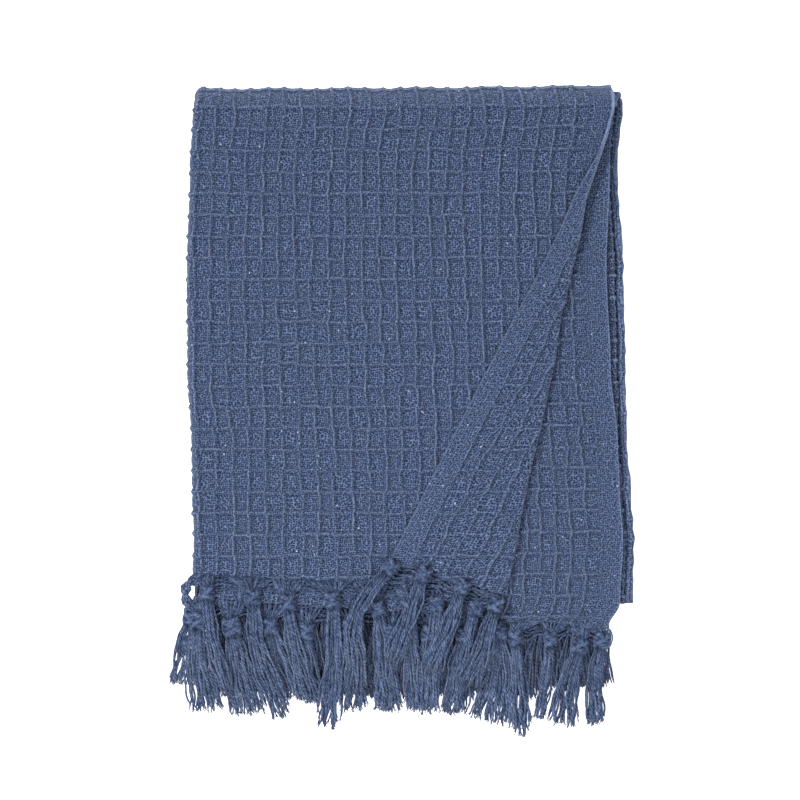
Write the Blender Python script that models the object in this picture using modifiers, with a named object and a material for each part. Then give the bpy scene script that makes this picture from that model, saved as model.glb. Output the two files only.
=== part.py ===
"""A waffle weave cotton throw with a knotted fringe, folded in quarters both ways.

The cloth is one sheet. Lengthwise it is folded to four layers, whose section is swept along
a back-and-forth path of four runs, so sixteen layers lie on each other. The free corner of
the top layer is turned back along a slanting fold. Each layer that ends at a cut edge has its
own row of knotted tassels. X is to the right, Y away from the fringe, Z up, in metres.
"""
import math
from collections import namedtuple

import bmesh
import bpy
from mathutils import Vector

MM = 0.001

# Cloth and stack
SHEET = 1.8 * MM  # thickness of the cloth
LAYER = 2.4 * MM  # from one layer to the next in a bundle of four
BUNDLE = 10.0 * MM  # from one bundle to the next
TOP_LAYER = 1.5 * LAYER  # the outer layers' distance from a bundle's middle
INNER_LAYER = 0.5 * LAYER  # the inner layers' distance from a bundle's middle
BASE = TOP_LAYER + SHEET / 2  # height of the lowest bundle's middle
BACK_FOLD = 242.6 * MM  # the far fold's outermost line
FRONT_FOLD = -142.9 * MM  # the near fold's outermost line
BACK_CENTRE = BACK_FOLD - 1.5 * BUNDLE - BASE
FRONT_CENTRE = FRONT_FOLD + 0.5 * BUNDLE + BASE
ORIGIN = Vector((-0.77, 0.86, 0.0)) * MM  # the middle of the whole throw's base
WAVE = 0.9 * MM  # how far the top bundle rises and falls
ARCH = 0.08 * MM  # the lowest layer stands on its four corners and rises by this in between

# The turned-back corner, whose fold runs from its start to its end
FLAP_START = Vector((151.0, 196.9)) * MM
FLAP_END = Vector((73.4, -142.1)) * MM
FLAP_BEND = 1.6 * MM  # radius of the fold
ALONG_FLAP = (FLAP_END - FLAP_START).normalized()
ACROSS_FLAP = Vector((-ALONG_FLAP.y, ALONG_FLAP.x))

# Columns and rows of the sheet's grid
FLAP_STEPS = 3
FLAP_BEND_STEPS = 4
FACE_STEPS = 5
LAYER_STEPS = 3
WIDE_BEND_STEPS = 5
TIGHT_BEND_STEPS = 4
LEAST_STEP = 3.0 * MM  # a run of columns is never narrower than this

# The edges of the layers, in millimetres, at places along the throw: the outer left fold,
# the top layer's selvedge before it is turned back, the second layer's selvedge, and the
# right fold.
Outline = namedtuple("Outline", "y left selvedge second right")
OUTLINE = (
    Outline(237, -156.0, 160.0, 158.0, 165.0),
    Outline(181, -158.0, 153.5, 156.0, 162.0),
    Outline(108, -160.5, 154.5, 153.5, 166.0),
    Outline(34, -159.0, 158.0, 156.5, 167.5),
    Outline(-24, -157.0, 159.5, 162.0, 169.5),
    Outline(-60, -157.0, 160.5, 163.5, 172.0),
    Outline(-96, -155.0, 161.0, 166.0, 174.0),
    Outline(-142, -156.0, 162.0, 163.0, 172.5),
)

# The four runs of the path: height of the bundle's middle in bundles above the lowest, how far
# the left and right folds and the selvedges are drawn in, and the share of the wave.
Run = namedtuple("Run", "level left_in right_in selvedge_in wave steps")
RUNS = {
    "top": Run(3, 0.0, 7.0, 0.0, 1.0, 8),
    "upper": Run(2, 2.0, 3.0, 5.0, 0.6, 4),
    "lower": Run(1, 3.5, 0.0, 7.0, 0.3, 4),
    "base": Run(0, 1.5, 1.5, 4.0, 0.0, 4),
}
INNER_FOLD_IN = 5.0 * MM  # the inner left fold's distance from the outer one

# The cut edges, in millimetres: the y of each layer at its left end and at its right end.
# Layers are numbered along the cloth, and layer 1 is outermost.
Hem = namedtuple("Hem", "left right")
HEMS = {
    "top": {
        1: Hem(-122.5, -150.0),
        2: Hem(-123.5, -150.0),
        3: Hem(-144.0, -152.0),
        4: Hem(-143.5, -161.0),
    },
    "upper": {
        1: Hem(-146.0, -150.0),
        2: Hem(-146.0, -149.0),
        3: Hem(-148.0, -150.0),
        4: Hem(-148.0, -152.0),
    },
}
HEM_BEND = 1.6  # the top layer's cut edge keeps level at the left and drops to the right

# Fringe
PARTING = 0.3 * MM  # from the cloth's cut edge to the fringe's strip
STRIP = 5.0 * MM  # width of the strip that the tassels grow from
STRIP_THICK = 1.6 * MM
ROOT_HALF = 11.0 * MM  # half the width over which the cloth's ends are drawn together
KNOT_HALF = 7.0 * MM  # half a knot's width
KNOT_LONG = 11.0 * MM
LOCK_HALF = 3.2 * MM  # half a lock's width
LEAST_LOCK_STEP = 5.0 * MM  # a lock has no shorter stretch

# A knot's cross rows: the place along it, its share of the full width and of the full thickness.
KnotStage = namedtuple("KnotStage", "along width thick")
KNOT_STAGES = (KnotStage(-0.5, 0.62, 0.7), KnotStage(0.0, 1.0, 1.0), KnotStage(0.5, 0.66, 0.75))
KNOT_RIM = 0.55  # the sides' share of a knot's thickness
FAN = 0.94  # how much of the room between tassels the locks spread over
WIDEST_FAN = 30.0 * MM
TIP_WIDTH = 0.62  # a lock's width at its tip

# How the tassels fall from the cut edges to where they lie: the share of the height left at
# places along the throw, in millimetres.
Fall = namedtuple("Fall", "y share")
FALLS = (Fall(-166, 1.0), Fall(-184, 0.64), Fall(-201, 0.16), Fall(-215, 0.0))

# One row of tassels: the run and layer it belongs to, the height its knots rise by, the
# height at which its tips lie, its knots' and locks' thickness, and the locks in a tassel.
Row = namedtuple("Row", "run layer rise rest knot lock locks")
ROWS = {
    "fringe_flap": Row("top", 1, 4.2, 19.0, 4.6, 1.8, 3),
    "fringe_1": Row("top", 1, 2.3, 15.6, 4.6, 1.8, 3),
    "fringe_2": Row("top", 4, 1.2, 12.3, 4.0, 1.8, 3),
    "fringe_3": Row("top", 3, 0.0, 10.0, 1.9, 1.1, 2),
    "fringe_4": Row("top", 2, 0.0, 8.2, 1.9, 1.1, 2),
    "fringe_5": Row("upper", 2, 0.0, 6.4, 1.9, 1.1, 2),
    "fringe_6": Row("upper", 3, 0.0, 4.6, 1.9, 1.1, 2),
    "fringe_7": Row("upper", 4, 0.0, 2.8, 1.9, 1.1, 2),
    "fringe_8": Row("upper", 1, 0.0, 1.0, 1.9, 1.1, 2),
}

# Tassels in millimetres: the place of the root along the cut edge, the knot and the tip.
Tassel = namedtuple("Tassel", "root knot_x knot_y tip_x tip_y")
TASSELS = {
    "fringe_flap": (
        Tassel(90, 70, -146, 64, -208),
        Tassel(112, 45, -132, 23, -192),
        Tassel(134, 15, -122, -4, -187),
        Tassel(153, -9, -116, -38, -195),
    ),
    "fringe_1": (
        Tassel(-144, -145.5, -135, -146, -221),
        Tassel(-112, -112, -140, -116, -227),
        Tassel(-84, -84, -143, -88, -227),
        Tassel(-54, -52, -142, -56, -236),
        Tassel(-24, -21, -144, -28, -226),
        Tassel(9, 11, -147, 3, -226),
        Tassel(42, 44, -153, 34, -228),
    ),
    "fringe_2": (
        Tassel(-146, -154, -158, -164, -204),
        Tassel(-125, -126, -160, -136, -216),
        Tassel(-97, -97, -161, -105, -219),
        Tassel(-70, -71, -166, -74, -222),
        Tassel(-40, -40, -167, -43, -221),
        Tassel(-9, -8, -168, -11, -222),
        Tassel(23, 23, -168, 21, -223),
        Tassel(54, 55, -169, 56, -231),
        Tassel(84, 86, -171, 88, -242.6),
        Tassel(110, 112, -172, 112, -234),
        Tassel(131, 131, -171, 133, -231),
        Tassel(149, 147, -171, 150, -231),
    ),
}
HIDDEN_TASSELS = 8
HIDDEN_LEFT = -143.0
HIDDEN_RIGHT = 141.0
HIDDEN_KNOT = 10.0  # from the cut edge to a hidden knot
HIDDEN_TIPS = (-219.0, -214.0, -222.0, -216.0)  # their tips, in turn

DENIM = (0.062, 0.098, 0.205)
FRINGE_BLUE = (0.055, 0.082, 0.170)


def mix(a, b, t):
    return a + (b - a) * t


def ease(t):
    """A smooth step from 0 to 1."""
    t = min(max(t, 0.0), 1.0)
    return t * t * (3 - 2 * t)


def outline_at(y):
    """The edges of the layers at a place along the throw, in metres."""
    y = min(max(y / MM, OUTLINE[-1].y), OUTLINE[0].y)
    for far, near in zip(OUTLINE, OUTLINE[1:]):
        if y >= near.y:
            t = ease((y - near.y) / (far.y - near.y))
            return Outline(*(mix(b, a, t) * MM for a, b in zip(far, near)))


def wave_at(x, y):
    """How far the top bundle's layers rise at a place, fading out near the cut edges."""
    rolling = math.sin(x / 0.047 + y / 0.11) * math.cos(y / 0.062 - x / 0.15)
    return WAVE * rolling * ease((y + 0.118) / 0.05)


def turned_back(x, y):
    """Where a point of the flat top layer lies, and its lift, once the corner is turned back."""
    out = (Vector((x, y)) - FLAP_START).dot(ACROSS_FLAP)
    bent = out + FLAP_BEND
    if bent <= 0:
        return Vector((x, y)), 0.0
    if bent < math.pi * FLAP_BEND:
        reach = FLAP_BEND * math.sin(bent / FLAP_BEND) - FLAP_BEND
        lift = FLAP_BEND * (1 - math.cos(bent / FLAP_BEND))
    else:
        reach = (math.pi - 1) * FLAP_BEND - bent
        lift = 2 * FLAP_BEND
    return Vector((x, y)) + ACROSS_FLAP * (reach - out), lift


def spread_out(start, end, steps):
    """Places from start towards end, without the end."""
    return [mix(start, end, k / steps) for k in range(steps)]


def flap_columns(y, left, selvedge):
    """The top layer's columns from its selvedge to its left fold, close together at the slanting fold."""
    fold = FLAP_START.x + (y - FLAP_START.y) * ALONG_FLAP.x / ALONG_FLAP.y
    slant = ACROSS_FLAP.x
    bend_end = min(fold + (math.pi - 1) * FLAP_BEND / slant, selvedge - LEAST_STEP)
    bend_start = min(fold - FLAP_BEND / slant, bend_end - LEAST_STEP)
    return (
        spread_out(selvedge, bend_end, FLAP_STEPS)
        + spread_out(bend_end, bend_start, FLAP_BEND_STEPS)
        + spread_out(bend_start, left, FACE_STEPS)
    )


Point = namedtuple("Point", "x height layer across")


def level_points(layer, height, places, left, right):
    """Points of a level layer of a bundle's section, at places along X."""
    return [Point(x, height, layer, (x - left) / (right - left)) for x in places]


def fold_points(layers, middle_x, middle_height, radius, start, end, steps):
    """Points of a fold between two layers of a bundle's section, without the last one."""
    across = 0.0 if start == 90 or start == 270 else 1.0
    points = []
    for k in range(steps):
        angle = math.radians(mix(start, end, k / steps))
        x = middle_x + radius * math.cos(angle)
        height = middle_height + radius * math.sin(angle)
        points.append(Point(x, height, layers[2 * k // steps], across))
    return points


def section(y, edges):
    """A bundle's section, from the first layer's selvedge to the fourth layer's."""
    wide, tight = TOP_LAYER, INNER_LAYER
    left = edges.left + SHEET / 2 + wide
    inner = edges.left + SHEET / 2 + INNER_FOLD_IN + tight
    right = edges.right - SHEET / 2 - tight
    first = flap_columns(y, left, edges.selvedge)
    second = spread_out(left, right, LAYER_STEPS)
    third = spread_out(right, inner, LAYER_STEPS)
    fourth = spread_out(inner, edges.second, LAYER_STEPS) + [edges.second]
    return (
        level_points(1, TOP_LAYER, first, left, edges.selvedge)
        + fold_points((1, 2), left, 0.0, wide, 90, 270, WIDE_BEND_STEPS)
        + level_points(2, -TOP_LAYER, second, left, right)
        + fold_points((2, 3), right, -LAYER, tight, -90, 90, TIGHT_BEND_STEPS)
        + level_points(3, -INNER_LAYER, third, inner, right)
        + fold_points((3, 4), inner, 0.0, tight, 270, 90, TIGHT_BEND_STEPS)
        + level_points(4, INNER_LAYER, fourth, inner, edges.second)
    )


def hem_at(run, layer, across):
    """The y of a layer's cut edge, at a place across it from 0 at the left to 1 at the right."""
    hem = HEMS[run][layer]
    bend = HEM_BEND if (run, layer) == ("top", 1) else 1.0
    return mix(hem.left, hem.right, min(max(across, 0.0), 1.0) ** bend) * MM


def run_edges(name, y):
    """The edges of the layers on one run of the path."""
    run, edges = RUNS[name], outline_at(y)
    return edges._replace(
        left=edges.left + run.left_in * MM,
        right=edges.right - run.right_in * MM,
        selvedge=edges.selvedge - run.selvedge_in * MM,
        second=edges.second - run.selvedge_in * MM,
    )


def run_row(name, share, start, end):
    """A row of points across one run, a share of the way from y = start to y = end.

    A start or end of None is the cut edge, which has its own y for every layer.
    """
    run = RUNS[name]
    level = BASE + run.level * BUNDLE
    up = 1 if name in ("top", "lower") else -1
    middle = hem_at(name, 1, 0.5) if None in (start, end) else 0.0
    nominal = mix(middle if start is None else start, middle if end is None else end, share)
    row = []
    for p in section(nominal, run_edges(name, nominal)):
        hem = hem_at(name, p.layer, p.across) if None in (start, end) else 0.0
        y = mix(hem if start is None else start, hem if end is None else end, share)
        x, lift = p.x, 0.0
        if name == "top" and p.layer == 1:
            (x, y), lift = turned_back(p.x, y)
        z = level + up * p.height + lift + run.wave * wave_at(x, y)
        if name == "base" and p.layer == 1:
            z += ARCH * (1 - ((2 * p.across - 1) * (2 * share - 1)) ** 2)
        row.append(Vector((x, y, z)))
    return row


Turn = namedtuple("Turn", "first second y level radius start end outward steps")
BACK_TURN = Turn("top", "base", BACK_CENTRE, 1.5, 1.5 * BUNDLE, 90, -90, 1, 8)
FRONT_TURN = Turn("base", "lower", FRONT_CENTRE, 0.5, 0.5 * BUNDLE, 270, 90, 1, 5)
INNER_TURN = Turn("lower", "upper", BACK_CENTRE, 1.5, 0.5 * BUNDLE, -90, 90, -1, 5)


def turn_row(turn, step):
    """A row of points across a fold between two runs."""
    share = step / turn.steps
    angle = math.radians(mix(turn.start, turn.end, share))
    middle_z = BASE + turn.level * BUNDLE
    pairs = zip(run_edges(turn.first, turn.y), run_edges(turn.second, turn.y))
    edges = Outline(*(mix(a, b, ease(share)) for a, b in pairs))
    wave = mix(RUNS[turn.first].wave, RUNS[turn.second].wave, share)
    row = []
    for p in section(turn.y, edges):
        x, y, lift = p.x, turn.y, 0.0
        if turn is BACK_TURN and p.layer == 1:
            (x, y), lift = turned_back(p.x, turn.y)
        reach = turn.radius + turn.outward * p.height + lift * (1 - share)
        z = middle_z + reach * math.sin(angle) + wave * wave_at(x, turn.y)
        row.append(Vector((x, y + reach * math.cos(angle), z)))
    return row


def run_rows(name, start, end):
    steps = RUNS[name].steps
    return [run_row(name, k / steps, start, end) for k in range(steps + 1)]


def turn_rows(turn):
    """A fold's rows without its first and last, which belong to the runs."""
    return [turn_row(turn, k) for k in range(1, turn.steps)]


def cloth_rows():
    """All rows of the sheet, from one cut edge to the other."""
    return (
        run_rows("top", None, BACK_CENTRE)
        + turn_rows(BACK_TURN)
        + run_rows("base", BACK_CENTRE, FRONT_CENTRE)
        + turn_rows(FRONT_TURN)
        + run_rows("lower", FRONT_CENTRE, BACK_CENTRE)
        + turn_rows(INNER_TURN)
        + run_rows("upper", BACK_CENTRE, None)
    )


def grid_of(bm, rows):
    """A flat grid moved to rows of points; gives its vertices by row and column."""
    across, down = len(rows[0]) - 1, len(rows) - 1
    made = bmesh.ops.create_grid(bm, x_segments=across, y_segments=down, size=0.5)["verts"]
    places = {}
    for vertex in made:
        key = (round((vertex.co.y + 0.5) * down), round((vertex.co.x + 0.5) * across))
        places[key] = vertex
    for (row, column), vertex in places.items():
        vertex.co = rows[row][column]
    return places


def material(name, colour):
    made = bpy.data.materials.new(name)
    made.use_nodes = True
    made.diffuse_color = (*colour, 1.0)
    surface = made.node_tree.nodes["Principled BSDF"]
    surface.inputs["Base Color"].default_value = (*colour, 1.0)
    surface.inputs["Roughness"].default_value = 0.9
    surface.inputs["Metallic"].default_value = 0.0
    return made


def add_object(name, bm, collection, finish):
    """An object of the throw, with its mesh moved so that the origin is under its middle."""
    bmesh.ops.translate(bm, verts=bm.verts, vec=-ORIGIN)
    mesh = bpy.data.meshes.new(name)
    bm.to_mesh(mesh)
    bm.free()
    made = bpy.data.objects.new(name, mesh)
    mesh.materials.append(finish)
    mesh.shade_smooth()
    collection.objects.link(made)
    return made


def thicken(target, thickness, group=None):
    """Give an open sheet its thickness, evenly on both sides."""
    solid = target.modifiers.new("Thickness", "SOLIDIFY")
    solid.thickness = thickness
    solid.offset = 0.0
    solid.use_quality_normals = True
    if group:
        solid.vertex_group = group


def make_cloth(collection):
    bm = bmesh.new()
    grid_of(bm, cloth_rows())
    cloth = add_object("waffle_cloth", bm, collection, material("denim_waffle", DENIM))
    thicken(cloth, SHEET)


def hidden_tassels(name):
    """Even tassels for a row that other rows cover."""
    row = ROWS[name]
    turn = int(name[-1])
    tassels = []
    for k in range(HIDDEN_TASSELS):
        x = mix(HIDDEN_LEFT, HIDDEN_RIGHT, k / (HIDDEN_TASSELS - 1)) + 4 * math.sin(k * 1.9 + turn)
        hem = hem_at(row.run, row.layer, (k + 0.5) / HIDDEN_TASSELS) / MM
        knot_y = hem - STRIP / MM - HIDDEN_KNOT
        tip_y = HIDDEN_TIPS[(k + turn) % len(HIDDEN_TIPS)]
        tassels.append(Tassel(x, x, knot_y, x + 3 * math.sin(k + turn), tip_y))
    return tassels


def fall_at(y):
    """The share of the height that is left at a place along the throw."""
    y = y / MM
    if y >= FALLS[0].y:
        return FALLS[0].share
    for high, low in zip(FALLS, FALLS[1:]):
        if y >= low.y:
            return mix(low.share, high.share, (y - low.y) / (high.y - low.y))
    return FALLS[-1].share


def row_height(row, rise, y):
    """The height of a row of tassels, which falls from its cut edge to where its tips lie."""
    level = RUNS[row.run].level
    up = 1 if row.run == "top" else -1
    heights = {1: TOP_LAYER, 2: -TOP_LAYER, 3: -INNER_LAYER, 4: INNER_LAYER}
    held = BASE + level * BUNDLE + up * heights[row.layer] + rise
    return mix(row.rest * MM, held, fall_at(y))


def strip_point(name, x, below):
    """A point of the strip beside a cut edge, a distance below that edge."""
    row = ROWS[name]
    edges = run_edges(row.run, hem_at(row.run, row.layer, 0.5))
    right = {1: edges.selvedge, 2: edges.right, 3: edges.right, 4: edges.second}[row.layer]
    across = (x - edges.left) / (right - edges.left)
    y = hem_at(row.run, row.layer, across) - PARTING - below
    z = row_height(row, 0.0, y)
    if name == "fringe_flap":
        (x, y), lift = turned_back(x, y)
        z += lift
    return Vector((x, y, z))


def extrude_row(bm, edges, places):
    """Extrude a run of edges one step, to places given from left to right.

    Gives the new edges and the new vertices, from left to right.
    """
    grown = bmesh.ops.extrude_edge_only(bm, edges=edges)["geom"]
    ends = sorted((g for g in grown if isinstance(g, bmesh.types.BMVert)), key=lambda v: v.co.x)
    for vertex, place in zip(ends, places):
        vertex.co = place
    return [bm.edges.get(pair) for pair in zip(ends, ends[1:])], ends


def room_of(tassels, k, key):
    """The space from a tassel to its nearest neighbour."""
    here = getattr(tassels[k], key)
    return min(abs(getattr(t, key) - here) for i, t in enumerate(tassels) if i != k) * MM


def lock_parts(begin, end):
    """Where a lock bends, from 0 at its knot to 1 at its tip: at the places where it changes its fall."""
    bends = [f.y * MM for f in FALLS if begin - LEAST_LOCK_STEP > f.y * MM > end + LEAST_LOCK_STEP]
    return [(y - begin) / (end - begin) for y in bends] + [1.0]


def grow_tassel(bm, name, tassels, k, edges, weights):
    """A tassel from its edges of the strip: drawn together, knotted, and parted into locks."""
    row, tassel = ROWS[name], tassels[k]
    knot = Vector((tassel.knot_x, tassel.knot_y)) * MM
    tip = Vector((tassel.tip_x, tassel.tip_y)) * MM
    down = (tip - knot).normalized()
    side = Vector((-down.y, down.x))
    knot_half = min(KNOT_HALF, 0.42 * room_of(tassels, k, "knot_x"))
    flap = 2 * FLAP_BEND if name == "fringe_flap" else 0.0

    def across(middle, half, count):
        z = row_height(row, row.rise * MM, middle.y) + flap * fall_at(middle.y)
        return [(*(middle + side * mix(-half, half, i / count)), z) for i in range(count + 1)]

    for stage in KNOT_STAGES:
        middle = knot + down * stage.along * KNOT_LONG
        edges, ends = extrude_row(bm, edges, across(middle, knot_half * stage.width, row.locks))
        for i, vertex in enumerate(ends):
            bulge = stage.thick * (KNOT_RIM if i in (0, len(ends) - 1) else 1.0)
            weights[vertex] = max(row.lock / row.knot, bulge)
    begin = knot + down * KNOT_STAGES[-1].along * KNOT_LONG
    narrow = 2 * knot_half * KNOT_STAGES[-1].width / row.locks
    wide = FAN * min(room_of(tassels, k, "tip_x"), WIDEST_FAN) / row.locks
    for i, root in enumerate(edges):
        edge = [root]
        end = begin.lerp(tip, 0.95 + 0.05 * math.sin(5.0 * i + 2.2 * k))
        for part in lock_parts(begin.y, end.y):
            step = mix(narrow, wide, ease(part * 1.4))
            middle = begin.lerp(end, part) + side * (i - (row.locks - 1) / 2) * step
            half = min(LOCK_HALF, 0.40 * step) * (TIP_WIDTH if part == 1.0 else 1.0)
            edge, ends = extrude_row(bm, edge, across(middle, half, 1))
            for vertex in ends:
                weights[vertex] = row.lock / row.knot


def make_fringe(name, collection, finish):
    """A strip beside a cut edge, with its tassels."""
    row = ROWS[name]
    tassels = sorted(TASSELS.get(name) or hidden_tassels(name), key=lambda t: t.root)
    columns, roots = [], []
    for k, tassel in enumerate(tassels):
        half = min(0.38 * room_of(tassels, k, "root"), ROOT_HALF)
        roots.append(len(columns))
        columns += [tassel.root * MM + mix(-half, half, i / row.locks) for i in range(row.locks + 1)]
    bm = bmesh.new()
    rows = [[strip_point(name, x, below) for x in columns] for below in (0.0, STRIP)]
    places = grid_of(bm, rows)
    weights = {vertex: STRIP_THICK / (row.knot * MM) for vertex in places.values()}
    for k, first in enumerate(roots):
        root = [places[1, first + i] for i in range(row.locks + 1)]
        edges = [bm.edges.get(pair) for pair in zip(root, root[1:])]
        grow_tassel(bm, name, tassels, k, edges, weights)
    bm.verts.index_update()
    values = [(vertex.index, weight) for vertex, weight in weights.items()]
    fringe = add_object(name, bm, collection, finish)
    group = fringe.vertex_groups.new(name="thickness")
    for index, weight in values:
        group.add([index], min(weight, 1.0), "REPLACE")
    thicken(fringe, row.knot * MM, group.name)


def main():
    for old in list(bpy.data.objects):
        bpy.data.objects.remove(old, do_unlink=True)
    throw = bpy.data.collections.new("waffle_throw")
    bpy.context.scene.collection.children.link(throw)
    make_cloth(throw)
    finish = material("fringe_yarn", FRINGE_BLUE)
    for name in ROWS:
        make_fringe(name, throw, finish)


main()
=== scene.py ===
"""The looks of a waffle weave cotton throw, folded in quarters both ways, with a knotted fringe.

The cloth's grid is laid out in cells of its weave and carried onto the folds of the solid by
the sizes that the solid is built from. Cells across the throw are counted from the first
selvedge's plain band, and cells along it from the cut edge of the top layer.
"""

import math
from collections import namedtuple

import bpy
import numpy as np
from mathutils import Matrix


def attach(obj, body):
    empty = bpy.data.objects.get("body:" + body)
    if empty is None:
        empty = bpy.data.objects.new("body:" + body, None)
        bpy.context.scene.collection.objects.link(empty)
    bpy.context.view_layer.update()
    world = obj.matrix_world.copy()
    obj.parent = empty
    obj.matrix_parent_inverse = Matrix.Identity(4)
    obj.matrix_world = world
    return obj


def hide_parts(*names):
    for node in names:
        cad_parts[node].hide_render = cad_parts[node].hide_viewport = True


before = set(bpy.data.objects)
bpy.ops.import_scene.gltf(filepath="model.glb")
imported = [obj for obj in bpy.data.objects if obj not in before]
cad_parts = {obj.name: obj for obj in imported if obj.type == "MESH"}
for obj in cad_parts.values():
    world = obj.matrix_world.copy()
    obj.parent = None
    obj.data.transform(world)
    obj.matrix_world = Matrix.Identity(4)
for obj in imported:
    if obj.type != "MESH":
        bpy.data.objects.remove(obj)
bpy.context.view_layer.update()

MM = 0.001

# The stack's sizes, as in the solid
SHEET = 1.8 * MM  # the cloth's thickness
LAYER = 2.4 * MM  # from one layer to the next
BUNDLE = 10.0 * MM  # from one bundle of four layers to the next
TOP_LAYER = 1.5 * LAYER  # from a bundle's middle to its outer layers
INNER_LAYER = 0.5 * LAYER
BASE = TOP_LAYER + SHEET / 2
BACK_FOLD = 242.6 * MM
FRONT_FOLD = -142.9 * MM
BACK_CENTRE = BACK_FOLD - 1.5 * BUNDLE - BASE
FRONT_CENTRE = FRONT_FOLD + 0.5 * BUNDLE + BASE
ORIGIN = np.array((-0.77, 0.86, 0.0)) * MM  # of the frame, in the solid's own sizes
INNER_FOLD_IN = 5.0 * MM  # how far a bundle's inner fold lies inside its left fold
HEM_BEND = 1.6  # how the top cut edge bends as it goes across
WAVE = 0.9 * MM  # how high the slow waves of the top are
WAVES_FROM = -118.0 * MM
WAVES_OVER = 50.0 * MM
# The line on which the corner is turned back, from its end near the back to that at the front
FLAP_START = np.array((151.0, 196.9)) * MM
FLAP_END = np.array((73.4, -142.1)) * MM
FLAP_BEND = 1.6 * MM  # its radius
FLAP_PUFF = 1.8  # how much higher the flap's fold stands near the back
FLAP_PUFF_FROM = 100.0 * MM
FLAP_PUFF_OVER = 60.0 * MM
# How far the turned-back corner's fold bows off its straight line, in millimetres at each y
FLAP_BOW = (
    (-139, 5.2), (-122, 3.8), (-96, 3.4), (-66, 1.2), (-21, 1.6), (9, 0.9), (50, 0.0), (69, -1.9),
    (129, -1.7), (159, -3.4), (189, 0.0), (205, 1.9), (225, 2.6), (240, -0.8),
)
FLAP_BOW_REACH = 26.0 * MM
SPRING = 3.0 * MM  # how far the right folds of the second bundle spring up
SPRING_FROM = 160.0 * MM
SPRING_OVER = 10.0 * MM
SCALLOP = 0.5 * MM  # of the back fold's line, from rib to rib
SCALLOP_FROM = 226.0 * MM
SCALLOP_OVER = 10.0 * MM
# The back fold's line in millimetres: how far it lies back at the left and how much farther at the
# right, its ripple, and the drop at its left corner
BACK_LEFT, BACK_WIDTH = -155.0, 310.0
BACK_RISE = (1.1, 2.3)
BACK_RIPPLE, BACK_RIPPLE_LENGTH = 0.5, 8.5
CORNER_DROP, CORNER_PLACE, CORNER_WIDTH = 2.4, -160.0, 7.0
BACK_RISE_FROM, BACK_RISE_OVER = 130.0, 105.0

# In millimetres, from the front to the back: the left fold, the selvedges of the first and of the
# fourth layer, and the right fold, each row after its y
OUTLINE = (
    (-162, -157.5, 162.0, 155.5, 173.5),
    (-143, -157.5, 162.0, 164.6, 175.0),
    (-96, -156.2, 161.0, 166.8, 175.5),
    (-60, -157.2, 160.5, 164.3, 173.0),
    (-24, -157.8, 159.5, 162.8, 170.2),
    (34, -160.8, 158.0, 157.3, 169.2),
    (108, -161.2, 154.5, 154.3, 167.6),
    (181, -159.0, 153.5, 156.8, 163.0),
    (237, -156.0, 160.0, 158.8, 168.0),
)

# The runs of the cloth's path, and its turns between them, as in the solid
Run = namedtuple("Run", "level up left_in right_in selvedge_in wave")
RUNS = {
    "top": Run(3, 1, 0.0, 7.0, 0.0, 1.0),
    "upper": Run(2, -1, 2.0, 0.3, 5.0, 0.6),
    "lower": Run(1, 1, 3.5, 2.5, 7.0, 0.3),
    "base": Run(0, -1, 1.5, 1.5, 4.0, 0.0),
}
Turn = namedtuple("Turn", "first second y level radius start end outward")
BACK_TURN = Turn("top", "base", BACK_CENTRE, 1.5, 1.5 * BUNDLE, 90, -90, 1)
FRONT_TURN = Turn("base", "lower", FRONT_CENTRE, 0.5, 0.5 * BUNDLE, 270, 90, 1)
INNER_TURN = Turn("lower", "upper", BACK_CENTRE, 1.5, 0.5 * BUNDLE, -90, 90, -1)

# The cut edges of the four layers of the two runs that end in them, at the left and the right
HEMS = {
    "top": ((-122.5, -150.0), (-123.5, -143.0), (-144.0, -143.5), (-139.5, -161.0)),
    "upper": ((-146.0, -144.0), (-146.0, -143.0), (-148.0, -143.5), (-148.0, -146.0)),
}

# The weave: a cell's size, the plain band beside a selvedge in cells, and where the folds
# and the ends of the layers come, in cells across and along the throw
CELL_ACROSS = 12.7 * MM
CELL_ALONG = 15.97 * MM
BAND = 1.2
LAST_RIB = 96
ACROSS = (-BAND, 23.02, 23.92, 48.10, 48.40, 72.45, 72.75, LAST_RIB + BAND)
ALONG = (0.69, 24.74, 28.40, 50.72, 52.41, 74.73, 75.73, 98.97)
FACE_END = ACROSS[2]
BACK_END = ALONG[2]
# the line of the rib on the back fold is painted stronger, as a highlight along the top edge
BACK_LINE = 26  # the rib across that lies on the back fold
# How far the first and the last ribs lie from their selvedges: pairs of cells and a distance
FIRST_RIBS = ((-BAND, 0.0), (0.0, 15.2 * MM), (8.0, 120.8 * MM))
LAST_RIBS = ((LAST_RIB - 6.0, 83.2 * MM), (LAST_RIB, 15.4 * MM), (LAST_RIB + BAND, 0.0))
ENDS_PER_CELL = 8.0
PICKS_PER_CELL = 10.0

# How far the surfaces stand from the middle of the cloth: in a pocket, and how much more on a rib
POCKET = 0.12 * MM
RELIEF = 2.9 * MM
RIB_WIDTHS = (1.7 * MM, 1.6 * MM)  # of the ribs along and across the throw
BOW = 1.4 * MM  # how far a rib bows between two crossings
DRIFT = 0.8 * MM  # how far a crossing is off its place
JOG = 1.1 * MM  # how far each stretch of a rib lies to one side
# Shares of the relief: of a rib, of a pocket's swelling at the least and how much more it may be,
# of the plain bands, and of the cord at their edges
RIB_SHARE = 0.86
SWELL_SHARES = (0.10, 0.16)
PLAIN_SHARE = 0.34
EDGE_SHARE = 0.35
EDGE_WIDTH = 1.2 * MM
SWELL_FROM = 2.4 * MM  # from a rib
SWELL_OVER = 2.8 * MM
# How much of the relief the folds pull flat: in the hidden stack, on the back fold and on the flap's
STACK_CALM = 0.45
BACK_CALM = 0.4
BACK_CALM_FROM = 224.0 * MM
BACK_CALM_OVER = 12.0 * MM
FLAP_CALM = 0.6

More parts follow.
